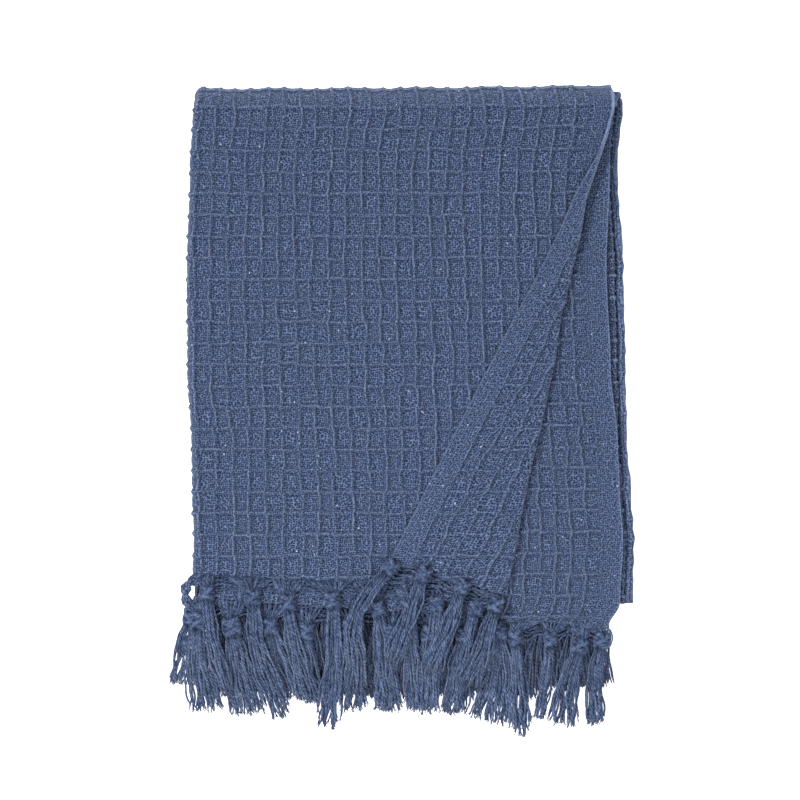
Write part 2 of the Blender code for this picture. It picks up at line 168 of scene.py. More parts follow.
rng = np.random.default_rng(7)
LATTICE = 106
BOWS = rng.uniform(0.1, 1, (2, LATTICE, LATTICE))
DRIFTS = rng.normal(0, 0.5, (2, LATTICE, LATTICE))
JOGS = rng.normal(0, 0.8, (2, LATTICE, LATTICE))
STRENGTHS = rng.uniform(0.5, 1.05, (2, LATTICE, LATTICE))
SWELLS = rng.uniform(0.0, 1.0, (LATTICE, LATTICE))


def mix(a, b, t):
    return a + (b - a) * t


def ease(t):
    t = np.clip(t, 0.0, 1.0)
    return t * t * (3 - 2 * t)


def bell(distance, width):
    """1 at no distance, and less and less over a width."""
    return np.exp(-((distance / width) ** 2))


# ---- the cloth's folds
def outline_at(y):
    """The left fold, the two selvedges and the right fold at y, in metres."""
    rows = np.array(OUTLINE)
    y = np.clip(np.asarray(y) / MM, rows[0, 0], rows[-1, 0])
    k = np.clip(np.searchsorted(rows[:, 0], y, side="right") - 1, 0, len(rows) - 2)
    t = ease((y - rows[k, 0]) / (rows[k + 1, 0] - rows[k, 0]))
    return mix(rows[k, 1:], rows[k + 1, 1:], np.expand_dims(t, -1)) * MM


def run_edges(name, y):
    run = RUNS[name]
    ins = np.array((-run.left_in, run.selvedge_in, run.selvedge_in, run.right_in)) * MM
    return outline_at(y) - ins


def wave_at(x, y):
    rolling = np.sin(x / 0.047 + y / 0.11) * np.cos(y / 0.062 - x / 0.15)
    return WAVE * rolling * ease((y - WAVES_FROM) / WAVES_OVER)


def turned_back(x, y):
    """Where points of the flat top layer lie once the corner is turned back, and their lift."""
    bend = FLAP_BEND
    along = (FLAP_END - FLAP_START) / np.linalg.norm(FLAP_END - FLAP_START)
    over = np.array((-along[1], along[0]))
    out = (x - FLAP_START[0]) * over[0] + (y - FLAP_START[1]) * over[1]
    bent = out + bend
    turn = np.clip(bent / bend, 0, math.pi)
    reach = np.where(bent <= 0, out, bend * np.sin(turn) - bend)
    reach = np.where(turn >= math.pi, (math.pi - 1) * bend - bent, reach)
    lift = np.where(bent <= 0, 0.0, bend * (1 - np.cos(turn)))
    lift = lift * (1 + FLAP_PUFF * ease((y - FLAP_PUFF_FROM) / FLAP_PUFF_OVER))
    bow = np.interp(y, *(np.array(FLAP_BOW).T * MM)) * bell(reach, FLAP_BOW_REACH)
    return x + over[0] * (reach - out) + bow, y + over[1] * (reach - out), lift


def settled(points):
    """The back fold's slightly uneven line, for points anywhere on the stack."""
    x, y = points[..., 0] / MM, points[..., 1] / MM
    across = np.clip((x - BACK_LEFT) / BACK_WIDTH, 0, 1)
    rise = BACK_RISE[0] + BACK_RISE[1] * across**2 + BACK_RIPPLE * np.sin(x / BACK_RIPPLE_LENGTH)
    rise = rise - CORNER_DROP * bell(x - CORNER_PLACE, CORNER_WIDTH)
    shift = np.zeros_like(points)
    shift[..., 1] = rise * MM * ease((y - BACK_RISE_FROM) / BACK_RISE_OVER)
    return points + shift


def hem_at(run, layer, across):
    """The y of the cut edge, for arrays of layers from 1 to 4 and places across them."""
    hems = np.array(HEMS[run])[layer - 1]
    bend = np.where((layer == 1) & (run == "top"), HEM_BEND, 1.0)
    return mix(hems[..., 0], hems[..., 1], np.clip(across, 0, 1) ** bend) * MM


def section(cells, edges):
    """A bundle's section at places across the cloth: x, height, layer and share of the layer."""
    left = edges[0] + SHEET / 2 + TOP_LAYER
    inner = edges[0] + SHEET / 2 + INNER_FOLD_IN + INNER_LAYER
    right = edges[3] - SHEET / 2 - INNER_LAYER
    part = np.clip(np.searchsorted(ACROSS, cells, side="right") - 1, 0, 6)
    starts, ends = np.array(ACROSS[:-1]), np.array(ACROSS[1:])
    t = (cells - starts[part]) / (ends[part] - starts[part])
    level = {
        0: (edges[1], left, TOP_LAYER),
        2: (left, right, -TOP_LAYER),
        4: (right, inner, -INNER_LAYER),
        6: (inner, edges[2], INNER_LAYER),
    }
    folds = {
        1: (left, 0.0, TOP_LAYER, 90, 270),
        3: (right, -LAYER, INNER_LAYER, -90, 90),
        5: (inner, 0.0, INNER_LAYER, 270, 90),
    }
    x, height, across = np.zeros((3, *t.shape))
    for k, (start, end, h) in level.items():
        here = part == k
        x[here] = mix(start, end, t[here])
        if k == 0:
            ribs = np.array(FIRST_RIBS + ((ends[0], start - end),)).T
            x[here] = start - np.interp(cells[here], *ribs)
        if k == 6:
            ribs = np.array(((starts[6], end - start),) + LAST_RIBS).T
            x[here] = end - np.interp(cells[here], *ribs)
        height[here] = h
        low, high = min(start, end), max(start, end)
        across[here] = (x[here] - low) / (high - low)
    for k, (middle, h, radius, start, end) in folds.items():
        here = part == k
        angle = np.radians(mix(start, end, t[here]))
        x[here] = middle + radius * np.cos(angle)
        height[here] = h + radius * np.sin(angle)
        across[here] = 1.0 if k == 3 else 0.0
    layer = np.array((1, 1, 2, 2, 3, 3, 4))[part] + (np.isin(part, (1, 3, 5)) & (t >= 0.5))
    return x, height, layer, across


def run_row(name, share, start, end, cells):
    """A row of a run, at a share of the way from start to end, where None is the cut edge."""
    nominal = float(hem_at(name, np.array(1), np.array(0.5))) if end is None else end
    x, height, layer, across = section(cells, run_edges(name, mix(start, nominal, share)))
    y = mix(start, hem_at(name, layer, across) if end is None else end, share)
    return laid(name, x, y + np.zeros_like(x), height, layer)


def laid(name, x, y, height, layer):
    """Points of a run from their place in the flat bundle."""
    run = RUNS[name]
    lift = np.zeros_like(x)
    if name == "top":
        first = layer == 1
        x[first], y[first], lift[first] = turned_back(x[first], y[first])
    if name == "upper":
        lift = SPRING * ease((x - SPRING_FROM) / SPRING_OVER)
    z = BASE + run.level * BUNDLE + run.up * height + lift + run.wave * wave_at(x, y)
    return np.stack((x, y, z), axis=1)


def top_row(along, cells):
    """A row of the top run, whose ribs lie straight, and its place along, which a cut edge ends."""
    y = BACK_CENTRE - (ALONG[1] - along) * CELL_ALONG
    x, height, layer, across = section(cells, run_edges("top", y))
    cut = np.maximum(y, hem_at("top", layer, across))
    return laid("top", x, cut, height, layer), ALONG[1] - (BACK_CENTRE - cut) / CELL_ALONG


def turn_row(turn, share, cells):
    """A row of a turn, at a share of the way round it."""
    angle = math.radians(mix(turn.start, turn.end, share))
    edges = mix(run_edges(turn.first, turn.y), run_edges(turn.second, turn.y), ease(2.2 * share))
    wave = mix(RUNS[turn.first].wave, RUNS[turn.second].wave, share)
    x, height, layer, across = section(cells, edges)
    y, lift = np.full_like(x, turn.y), np.zeros_like(x)
    if turn is BACK_TURN:
        first = layer == 1
        x[first], y[first], lift[first] = turned_back(x[first], y[first])
    reach = turn.radius + turn.outward * height + lift * (1 - share)
    z = BASE + turn.level * BUNDLE + reach * math.sin(angle) + wave * wave_at(x, turn.y)
    return np.stack((x, y + reach * math.cos(angle), z), axis=1)


def row_at(along, cells):
    """The middle of the cloth at one place along it."""
    part = min(max(int(np.searchsorted(ALONG, along, side="right")) - 1, 1), 6)
    share = (along - ALONG[part]) / (ALONG[part + 1] - ALONG[part])
    turns = {1: BACK_TURN, 3: FRONT_TURN, 5: INNER_TURN}
    if part in turns:
        return turn_row(turns[part], share, cells)
    name, start, end = {
        2: ("base", BACK_CENTRE, FRONT_CENTRE),
        4: ("lower", FRONT_CENTRE, BACK_CENTRE),
        6: ("upper", BACK_CENTRE, None),
    }[part]
    return run_row(name, share, start, end, cells)


def middle_of(along, across):
    """The middle of the cloth as a grid of points, with their places along it."""
    rows, places = [], []
    for place in along:
        if place < ALONG[1]:
            row, place = top_row(place, across)
        else:
            row, place = row_at(place, across), np.full(len(across), place)
        rows.append(row)
        places.append(place)
    return np.stack(rows), np.stack(places)


# ---- the weave's relief
def lattice(values, across, along):
    """Values kept at the ribs' crossings, taken smoothly in between."""
    i, j = np.floor(across).astype(int) + 2, np.floor(along).astype(int) + 1
    s, t = ease(across - np.floor(across)), ease(along - np.floor(along))
    low = mix(values[i, j], values[i + 1, j], s)
    high = mix(values[i, j + 1], values[i + 1, j + 1], s)
    return mix(low, high, t)


def jogs(values, along_rib, across_ribs):
    """Offsets of the stretches between two crossings, which change quickly at a crossing."""
    n = np.round(along_rib).astype(int)
    t = ease((along_rib - n) / 0.24 + 0.5)
    i = np.floor(across_ribs).astype(int) + 2
    s = across_ribs - np.floor(across_ribs)
    before = mix(values[i, n], values[i + 1, n], s)
    after = mix(values[i, n + 1], values[i + 1, n + 1], s)
    return mix(before, after, t)


def sideways(across, along):
    """How far the weave lies off its even places, across and along the throw."""
    arc = np.sin(math.pi * (along - np.floor(along)))
    flat_arc = np.sin(math.pi * (across - np.floor(across)))
    x = DRIFT * lattice(DRIFTS[0], across, along) + JOG * jogs(JOGS[0], along, across)
    x = x - BOW * lattice(BOWS[0], across, along) * arc
    y = 0.7 * DRIFT * lattice(DRIFTS[1], across, along)
    y = y + 0.5 * JOG * jogs(JOGS[1], across + 2, along - 2)
    y = y - 0.3 * BOW * lattice(BOWS[1], across, along) * flat_arc
    inside = ease((across + 0.2) / 0.8) * ease((LAST_RIB + 0.2 - across) / 0.8)
    return x * inside, y * inside


def relief(across, along):
    """The height over the middle of the pockets, from 0 to 1, and the layers for the material.

    Those are how plain the weave is, how strong the ribs along and across are, which sets their
    lines' painted highlight and their grooves' painted shade, and a painted highlight near a
    selvedge and on the right fold.
    """
    offs = (
        np.abs(across - np.round(across)) * CELL_ACROSS,
        np.abs(along - np.round(along)) * CELL_ALONG,
    )
    strengths = [lattice(STRENGTHS[k], across, along) for k in range(2)]
    ribs = [0.9 * np.minimum(strengths[k] * bell(offs[k], RIB_WIDTHS[k]), 1) for k in range(2)]
    rib = 1 - (1 - ribs[0]) * (1 - ribs[1])
    swell = SWELL_SHARES[0] + SWELL_SHARES[1] * lattice(SWELLS, across + 0.5, along + 0.5)
    height = RIB_SHARE * rib + swell * ease((np.minimum(*offs) - SWELL_FROM) / SWELL_OVER)
    edge = np.minimum(across + BAND, LAST_RIB + BAND - across)
    plain = ease((BAND - edge + 0.04) / 0.08)
    cord = EDGE_SHARE * bell(edge * CELL_ACROSS, EDGE_WIDTH)
    lines = [strength * (1 - plain) for strength in strengths]
    lines[0] *= 0.9
    lines[1] *= 0.9 - 0.45 * bell(offs[0], 1.6 * MM)
    # a painted highlight on the rib along the back fold, at the top edge
    lines[1] += 0.6 * bell(along - BACK_LINE, 0.3) * (across < FACE_END)
    # a painted highlight near the selvedges and along the right fold
    rim = bell(edge * CELL_ACROSS, 1.5 * MM)
    rim = rim + 2.8 * bell(across - 0.5 * (ACROSS[3] + ACROSS[4]), 0.13)
    layers = {"plain": plain, "rib_along": lines[0], "rib_across": lines[1], "edge": rim}
    return mix(height, PLAIN_SHARE + cord, plain), layers


# ---- meshes
def placed(name, data):
    """A new object in the scene."""
    made = bpy.data.objects.new(name, data)
    bpy.context.scene.collection.objects.link(made)
    return made


def make_piece(name, points, faces, uv, layers, finish):
    """A mesh object from arrays: faces as rows of corners, their uv, and layers on the points."""
    mesh = bpy.data.meshes.new(name)
    points[:, 2] = np.maximum(points[:, 2], 0.0)  # nothing sinks into the floor
    rows = [row for group in faces for row in group.tolist()]
    mesh.from_pydata((points - ORIGIN).tolist(), [], rows)
    made = mesh.uv_layers.new(name="weave")
    spots = np.concatenate([part.reshape(-1, 2) for part in uv])
    made.data.foreach_set("uv", spots.astype(np.float32).ravel())
    for key, values in layers.items():
        layer = mesh.attributes.new(key, "FLOAT", "POINT")
        layer.data.foreach_set("value", values.astype(np.float32))
    mesh.materials.append(finish)
    mesh.shade_smooth()
    return placed(name, mesh)


def steps(start, end, fractions, datum=0.0):
    """Places from start to end: the given fractions of every cell, with both ends."""
    cells = range(math.floor(start), math.ceil(end) + 1)
    places = [cell + fraction - datum for cell in cells for fraction in fractions]
    return [start] + [place for place in places if start + 0.02 < place < end - 0.02] + [end]


def joined(*runs):
    """Runs of places made one, without the places that they share."""
    return np.array(sorted({round(place, 5) for run in runs for place in run}))


def unit(vectors):
    return vectors / np.maximum(np.linalg.norm(vectors, axis=-1, keepdims=True), 1e-12)


def calm_and_steep(name, grid):
    """How flat the relief is pulled at the folds, and how steep the face is on the flap's."""
    calm = BACK_CALM * ease((grid[..., 1] - BACK_CALM_FROM) / BACK_CALM_OVER)
    steep = np.zeros(grid.shape[:2])
    if name == "cloth_stack":
        calm = np.full(grid.shape[:2], STACK_CALM)
    if name == "cloth_face":
        course = np.gradient(grid, axis=1)
        flat = np.maximum(np.linalg.norm(course[..., :2], axis=2), 1e-6)
        steep = ease(np.abs(course[..., 2]) / (0.8 * flat)) * (grid[..., 0] > 50.0 * MM)
        calm = np.maximum(calm, FLAP_CALM * steep)
    return calm, steep


def closed_sheet(upper, lower, a, b):
    """The points and faces of two surfaces joined at their rims, and the uv of each point.

    Cells that lie wholly beyond a cut edge, and so have no length, are left out.
    """
    count = a.size
    index = np.arange(count).reshape(a.shape)
    corners = np.stack((index[:-1, :-1], index[:-1, 1:], index[1:, 1:], index[1:, :-1]), axis=2)
    kept = (b[1:, :-1] - b[:-1, :-1] > 1e-6) | (b[1:, 1:] - b[:-1, 1:] > 1e-6)
    walls = []
    wide = np.pad(kept, 1)
    for beyond, i, j in (
        (wide[:-2, 1:-1], 0, 1),
        (wide[1:-1, 2:], 1, 2),
        (wide[2:, 1:-1], 2, 3),
        (wide[1:-1, :-2], 3, 0),
    ):
        near, far = corners[kept & ~beyond][:, (i, j)].T
        walls.append(np.stack((far, near, near + count, far + count), axis=1))
    quads = corners[kept]
    faces = np.concatenate((quads, quads[:, ::-1] + count, *walls))
    used, faces = np.unique(faces, return_inverse=True)
    points = np.concatenate((upper.reshape(-1, 3), lower.reshape(-1, 3)))[used]
    uv = np.tile(np.stack((a.ravel(), b.ravel()), axis=1), (2, 1))[used]
    return points, faces.reshape(-1, 4), uv, used


def cloth_piece(name, across, along, finish, datum=0.0):
    """A closed sheet over a grid of places, with the weave's relief on both sides.

    The datum is how far the ribs across lie from those of the face.
    """
    grid, b = middle_of(along, across)
    grid = settled(grid)
    a, b = np.tile(across, (len(along), 1)), b + datum
    scallop = np.abs(np.cos(math.pi * a)) ** 0.8 - 0.5
    grid[..., 1] += SCALLOP * scallop * ease((grid[..., 1] - SCALLOP_FROM) / SCALLOP_OVER)
    shift_x, shift_y = sideways(a, b)
    grid = grid + unit(np.gradient(grid, axis=1)) * shift_x[..., None]
    grid = grid + unit(np.gradient(grid, axis=0)) * shift_y[..., None]
    normal = unit(np.cross(np.gradient(grid, axis=1), np.gradient(grid, axis=0)))
    height, layers = relief(a, b)
    calm, steep = calm_and_steep(name, grid)
    # a painted highlight along the flap's fold, where the face is steep
    layers["edge"] = layers["edge"] + 1.6 * steep
    stand = (POCKET + RELIEF * height * (1 - calm))[..., None]
    points, faces, uv, used = closed_sheet(grid + normal * stand, grid - normal * stand, a, b)
    both = {key: np.tile(values.ravel(), 2)[used] for key, values in layers.items()}
    return make_piece(name, points, [faces], [uv[faces]], both, finish)


# ---- materials
class Graph:
    """Short calls for the nodes of one material."""

    def __init__(self, name):
        self.material = bpy.data.materials.new(name)
        self.material.use_nodes = True
        self.tree = self.material.node_tree
        self.surface = self.tree.nodes["Principled BSDF"]

    def node(self, kind, **inputs):
        made = self.tree.nodes.new("ShaderNode" + kind)
        for key, value in inputs.items():
            self.put(made.inputs[key.replace("_", " ")], value)
        return made

    def put(self, socket, value):
        if isinstance(value, bpy.types.NodeSocket):
            self.tree.links.new(value, socket)
        else:
            socket.default_value = value

    def set_surface(self, values):
        for key, value in values.items():
            self.surface.inputs[key].default_value = value

    def worked_out(self, kind, operation, values):
        made = self.node(kind)
        made.operation = operation
        for socket, value in zip(made.inputs, values):
            self.put(socket, value)
        return made.outputs[0]

    def vector(self, operation, *values):
        return self.worked_out("VectorMath", operation, values)

    def math(self, operation, *values):
        return self.worked_out("Math", operation, values)

    def scaled(self, value, factor, start=0.0):
        return self.math("MULTIPLY_ADD", value, factor, start)

    def blend(self, factor, a, b):
        made = self.node("Mix")
        made.data_type = "RGBA"
        self.put(made.inputs["Factor"], factor)
        self.put(made.inputs["A"], a)
        self.put(made.inputs["B"], b)
        return made.outputs["Result"]

    def attribute(self, name):
        made = self.node("Attribute")
        made.attribute_name = name
        return made.outputs["Fac"]

    def weave(self):
        made = self.node("UVMap")
        made.uv_map = "weave"
        return made.outputs["UV"]

    def noise(self, vector, scale, detail, output="Fac"):
        made = self.node("TexNoise", Vector=vector, Scale=scale, Detail=detail)
        return made.outputs[output]

    def ramp(self, value, low, high):
        """From 0 at low to 1 at high, which may be the smaller one."""
        made = self.node("MapRange", Value=value, From_Min=low, From_Max=high)
        return made.outputs["Result"]


DEEP_BLUE = (0.010, 0.016, 0.036, 1.0)
BLUE = (0.049, 0.075, 0.150, 1.0)
LIGHT_BLUE = (0.182, 0.238, 0.388, 1.0)
NEP = (0.50, 0.55, 0.62, 1.0)
COTTON_SURFACE = {
    "Roughness": 0.93,
    "Specular IOR Level": 0.10,
    "Sheen Weight": 0.30,
    "Sheen Roughness": 0.40,
    "Sheen Tint": (0.60, 0.68, 0.85, 1.0),
}


def cotton(g, tone, low, middle, high):
    """The dyed cotton's colour for a tone, from deep in the weave to the lightest thread."""
    dark = g.blend(g.ramp(tone, low, middle), DEEP_BLUE, BLUE)
    return g.blend(g.ramp(tone, middle, high), dark, LIGHT_BLUE)


def matt(g, colour, height, distance):
    """A rough, slightly downy surface of one colour, with its threads' height as bump."""
    g.put(g.surface.inputs["Base Color"], colour)
    g.set_surface(COTTON_SURFACE)
    bump = g.node("Bump", Height=height, Strength=1.0, Distance=distance)
    g.put(g.surface.inputs["Normal"], bump.outputs["Normal"])
    return g.material


def thread_pattern(g, threads):
    """Holes between threads, for painted shade and bump, spots of painted highlight where threads
    lie over others, and uneven threads.
    """
    crossings = g.node("TexVoronoi", Vector=threads, Scale=1.0, Randomness=0.60)
    crossings.voronoi_dimensions = "2D"
    away = crossings.outputs["Distance"]
    chance = g.node("SeparateColor", Color=crossings.outputs["Color"]).outputs["Red"]
    spot = g.scaled(g.ramp(away, 0.40, 0.75), g.ramp(chance, 0.0, 0.8))
    upright = g.vector("MULTIPLY", threads, (1.4, 0.75, 1.0))
    level = g.vector("MULTIPLY_ADD", threads, (0.75, 1.4, 1.0), (37.0, 11.0, 0.0))
    uneven = g.math("MAXIMUM", g.noise(upright, 1.0, 0.0), g.noise(level, 1.0, 0.0))
    return g.ramp(away, 0.36, 0.12), spot, g.ramp(uneven, 0.45, 0.75)


# The layer with the ribs' strength, the axis that they are counted on, a cell's size along it, and
# how far in cells their lines, partly a painted highlight, and the painted shade of their grooves
# lie to the lit side
RIB_LINES = (("rib_along", "X", CELL_ACROSS, 0.05), ("rib_across", "Y", CELL_ALONG, 0.04))
LINE_EDGES = (1.4 * MM, 0.5 * MM)
GROOVE_SHADE_EDGES = (3.9 * MM, 1.9 * MM)


def rib_lines(g, cells):
    """The ribs as lines, partly a painted highlight, and painted shade in the grooves beside them.
    """
    place = g.node("SeparateXYZ", Vector=cells)
    lines, grooves = [], []
    for key, axis, size, offset in RIB_LINES:
        off = g.math("PINGPONG", g.math("SUBTRACT", place.outputs[axis], offset), 0.5)
        strength = g.attribute(key)
        for found, edges in ((lines, LINE_EDGES), (grooves, GROOVE_SHADE_EDGES)):
            near = g.ramp(off, edges[0] / size, edges[1] / size)
            found.append(g.scaled(near, strength))
    line = g.math("MAXIMUM", *lines)
    return line, g.scaled(g.math("MAXIMUM", *grooves), g.math("SUBTRACT", 1.0, line))


def cloth_material():
    """Light threads round holes darkened as painted shade, with painted highlights where they cross,
    the ribs as lighter lines, partly a painted highlight, between grooves of painted shade, and a
    painted highlight on the edges and folds.
    """
    g = Graph("denim_waffle")
    cells = g.weave()
    threads = g.vector("MULTIPLY", cells, (ENDS_PER_CELL, PICKS_PER_CELL, 1.0))
    wander = g.noise(cells, 2.3, 2.0, "Color")
    threads = g.vector("MULTIPLY_ADD", wander, (1.2, 1.2, 0.0), threads)
    hole, spot, uneven = thread_pattern(g, threads)
    ragged = g.noise(threads, 0.8, 1.0, "Color")
    line, groove_shade = rib_lines(g, g.vector("MULTIPLY_ADD", ragged, (0.10, 0.08, 0.0), cells))
    plain, edge = g.attribute("plain"), g.attribute("edge")

    body = g.scaled(uneven, 0.16, 0.472)
    # painted highlights where threads lie over others, fewer on the plain bands
    body = g.scaled(spot, g.scaled(plain, -0.14, 0.30), body)
    # painted shade in the grooves beside the ribs
    body = g.scaled(groove_shade, -0.20, body)
    depth = g.scaled(line, -1.1, g.scaled(plain, -0.75, 1.75))
    depth = g.math("MAXIMUM", g.scaled(edge, -1.0, depth), 0.1)
    # painted shade in the holes between threads, less on the ribs and near the edges
    body = g.math("SUBTRACT", body, g.scaled(hole, depth))
    # the ribs' lines: their float threads' own smoother, lighter tone, with a painted highlight
    tone = g.scaled(body, g.scaled(line, -0.45, 1.0))
    # a painted highlight on the selvedges and the folds
    tone = g.scaled(edge, 0.12, g.scaled(line, 0.40, tone))
    blue = cotton(g, tone, 0.05, 0.46, 1.0)

    specks = g.node("TexVoronoi", Vector=cells, Scale=1.7)
    fleck = g.math("LESS_THAN", specks.outputs["Distance"], 0.075)
    rare = g.math("GREATER_THAN", g.noise(cells, 1.3, 2.0), 0.50)
    blue = g.blend(g.scaled(g.scaled(fleck, rare), 0.65), blue, NEP)
    height = g.scaled(line, 0.75, g.scaled(uneven, 0.50, g.scaled(hole, -0.50)))
    return matt(g, blue, height, 1.0 * MM)


def yarn_material():
    """Two plies twisted round each other: u runs round the yarn, v along it in twists."""
    g = Graph("fringe_yarn")
    weave = g.weave()
    split = g.node("SeparateXYZ", Vector=weave)
    twist = g.math("ADD", split.outputs["X"], split.outputs["Y"])
    ply = g.math("ABSOLUTE", g.math("SINE", g.scaled(twist, 2 * math.pi)))
    fibre = g.noise(weave, 5.0, 3.0)
    slub = g.noise(g.node("TexCoord").outputs["Object"], 260.0, 2.0)
    tone = g.scaled(g.ramp(fibre, 0.3, 0.7), 0.22, g.scaled(ply, 0.36))
    tone = g.scaled(g.ramp(slub, 0.3, 0.7), 0.40, tone)
    # the shade layer: each yarn's own tone, with painted shade at the knots and on the covered rows
    tone = g.scaled(g.attribute("shade"), 0.24, g.math("SUBTRACT", tone, 0.15))
    blue = cotton(g, tone, 0.05, 0.52, 1.15)
    return matt(g, blue, g.scaled(fibre, 0.5, ply), 0.45 * MM)


# ---- the cloth's pieces
# Where a cell of the weave has its places, as fractions of it
FINE_ACROSS = (0.0, 0.08, 0.17, 0.31, 0.50, 0.69, 0.83, 0.92)
FLAP_ACROSS = (0.0, 0.06, 0.13, 0.21, 0.30, 0.40, 0.50, 0.60, 0.70, 0.79, 0.87, 0.94)
FINE_ALONG = (0.0, 0.07, 0.17, 0.36, 0.64, 0.83, 0.93)
FEW = (0.0, 0.16, 0.5, 0.84)
FEWER = (0.0, 0.5)
THIRDS = (0.0, 0.33, 0.67)
WHOLE = (0.0,)
FLAP_CELLS = 8.0  # as far as the turned-back corner reaches, and its fold
UNDER_DATUM = -0.15  # of the layers under the face, whose ribs lie off those of the face


def cloth_pieces(finish):
    """The face with the turned-back corner, the layers under it, and the rest of the stack."""
    face_across = joined(
        steps(ACROSS[0], FLAP_CELLS, FLAP_ACROSS), steps(FLAP_CELLS, FACE_END, FINE_ACROSS)
    )
    top_along = joined(steps(ALONG[0], BACK_END, FINE_ALONG))
    inner_folds = (
        *steps(25.0, 46.0, WHOLE),
        *steps(46.0, 50.0, FEW),
        *steps(ACROSS[3], ACROSS[4], (0.2, 0.3)),
        *steps(50.0, 71.0, WHOLE),
        *steps(71.0, 74.0, FEW),
    )
    under_across = joined(
        steps(FACE_END, 25.0, FEW),
        inner_folds,
        steps(74.0, 87.0, WHOLE),
        steps(87.0, ACROSS[-1], FINE_ACROSS),
    )
    under_along = joined(steps(ALONG[0], BACK_END, FINE_ALONG, UNDER_DATUM))
    stack_across = joined(
        steps(ACROSS[0], 22.0, THIRDS),
        steps(22.0, 25.0, FEW),
        steps(ACROSS[1], ACROSS[2], (0.25, 0.5, 0.75)),
        inner_folds,
        steps(74.0, 94.0, WHOLE),
        steps(94.0, ACROSS[-1], FEW),
    )
    parts = zip(ALONG[2:], ALONG[3:], (THIRDS, FEW, FEWER, FEW, FEWER))
    stack_along = joined(*(steps(*part) for part in parts))
    return (
        cloth_piece("cloth_face", face_across, top_along, finish),
        cloth_piece("cloth_under", under_across, under_along, finish, UNDER_DATUM),
        cloth_piece("cloth_stack", stack_across, stack_along, finish),
    )


# ---- the fringe
# A row of tassels: the run and the layer whose cut edge it hangs from, how far its knots rise over
# that layer, and the height of its tips, in millimetres
Row = namedtuple("Row", "run layer rise rest")
ROWS = {
    "fringe_flap": Row("top", 1, 4.2, 19.0),
    "fringe_1": Row("top", 1, 2.3, 15.6),
    "fringe_2": Row("top", 4, 1.2, 12.3),
    "fringe_3": Row("top", 3, 0.0, 10.0),
    "fringe_4": Row("top", 2, 0.0, 8.2),
    "fringe_5": Row("upper", 2, 0.0, 6.4),
    "fringe_6": Row("upper", 3, 0.0, 4.6),
    "fringe_7": Row("upper", 4, 0.0, 2.8),
    "fringe_8": Row("upper", 1, 0.0, 1.0),
}

# Tassels in millimetres: the root's place along the cut edge and half its width, the knot, a
# place on the way down, the tip, the width there, and the number of yarns.
Tassel = namedtuple("Tassel", "root reach knot_x knot_y via_x via_y tip_x tip_y width yarns")
TASSEL_ROWS = {
    "fringe_flap": (
        (90, 12, 71, -145, 62, -174, 52, -202, 15, 20),
        (112, 12, 46.5, -131, 36, -160, 22, -191, 14, 20),
        (134, 12, 17, -122, 6, -153, -4.5, -185, 14, 20),
        (152, 9, -8, -116.5, -31, -147, -33, -208, 16, 21),
    ),
    "fringe_1": (
        (-147, 7, -145.5, -136, -141, -171, -131, -209, 11, 18),
        (-113, 17, -111, -139.9, -108.8, -171.4, -90, -225, 15, 25),
        (-84, 13, -84.8, -143.6, -79.5, -175, -67, -216, 15, 22),
        (-54, 15, -51, -141.4, -50.3, -175.1, -55.5, -233, 16.5, 25),
        (-21, 15, -17, -148, -12.8, -178.9, -8.3, -222.4, 17, 22),
        (8, 14, 7, -147, 8, -180, 10, -221.6, 15, 22),
        (36, 13, 27, -144.5, 24.8, -178.9, 21, -223.1, 15, 22),
        (62, 12, 56, -147.4, 48, -180, 40, -222.4, 15, 22),
    ),
    "fringe_2": (
        (-150, 5.5, -158.5, -155.4, -163.5, -178, -168.5, -203, 12, 18),
        (-143, 7, -152, -157, -152.3, -186.4, -147, -222.4, 25, 32),
        (-127, 11, -126.8, -161.6, -122.3, -190.1, -114.8, -224.6, 27, 35),
        (-98, 14, -98.3, -161.6, -92, -187, -84.8, -212.6, 22, 29),
        (-71, 13, -71.3, -165.4, -69.8, -190, -66.8, -214.1, 19, 25),
        (-42, 14, -39, -162.4, -38, -190, -36.8, -221.6, 20, 26),
        (-10, 14, -8.3, -165.4, -10, -190, -12, -221, 18, 23),
        (20, 14, 21.8, -166.9, 18, -190, 14.3, -220.1, 22, 29),
        (47, 12, 47.3, -166.9, 43, -190, 40, -223, 18, 23),
        (72, 12, 72, -165.4, 74.3, -186.4, 68.3, -230.6, 31, 40),
        (94, 11, 86.3, -169.9, 87.8, -201.4, 90.8, -239, 14, 22),
        (116, 10, 112.5, -170.6, 109.5, -202, 105, -227.5, 9, 18),
        (135, 9, 134.3, -175.9, 126.8, -201.4, 122, -232.9, 21, 25),
        (149, 7, 150.8, -172.1, 146.3, -201.4, 147, -232.1, 13.5, 22),
    ),
}
TASSELS = {name: [Tassel(*row) for row in rows] for name, rows in TASSEL_ROWS.items()}
# Where the loose last threads across the cloth show along a row, in millimetres
PICK_SPANS = {"fringe_flap": (78, 160), "fringe_1": (-151, 75), "fringe_2": (-148, 154.5)}
PICKS = 7
COVERED_TASSELS = 12  # in a row that others cover
COVERED_LEFT, COVERED_RIGHT = -144.0, 150.0
YARN = 0.75 * MM  # a yarn's radius
TWIST = 7.0 * MM  # the length of one turn of its plies
FALL_FROM, FALL_OVER = -166.0, 49.0  # where the tassels fall, in millimetres


def fall_at(y):
    """The share left of a cut edge's height, as the tassels fall to where their tips lie."""
    return 1 - ease((FALL_FROM - y / MM) / FALL_OVER)


def row_height(row, rise, y):
    """A height in a row, for a rise over the middle of its layer at the cut edge."""
    run = RUNS[row.run]
    heights = {1: TOP_LAYER, 2: -TOP_LAYER, 3: -INNER_LAYER, 4: INNER_LAYER}
    held = BASE + run.level * BUNDLE + run.up * heights[row.layer] + rise
    return mix(row.rest * MM, held, fall_at(y))


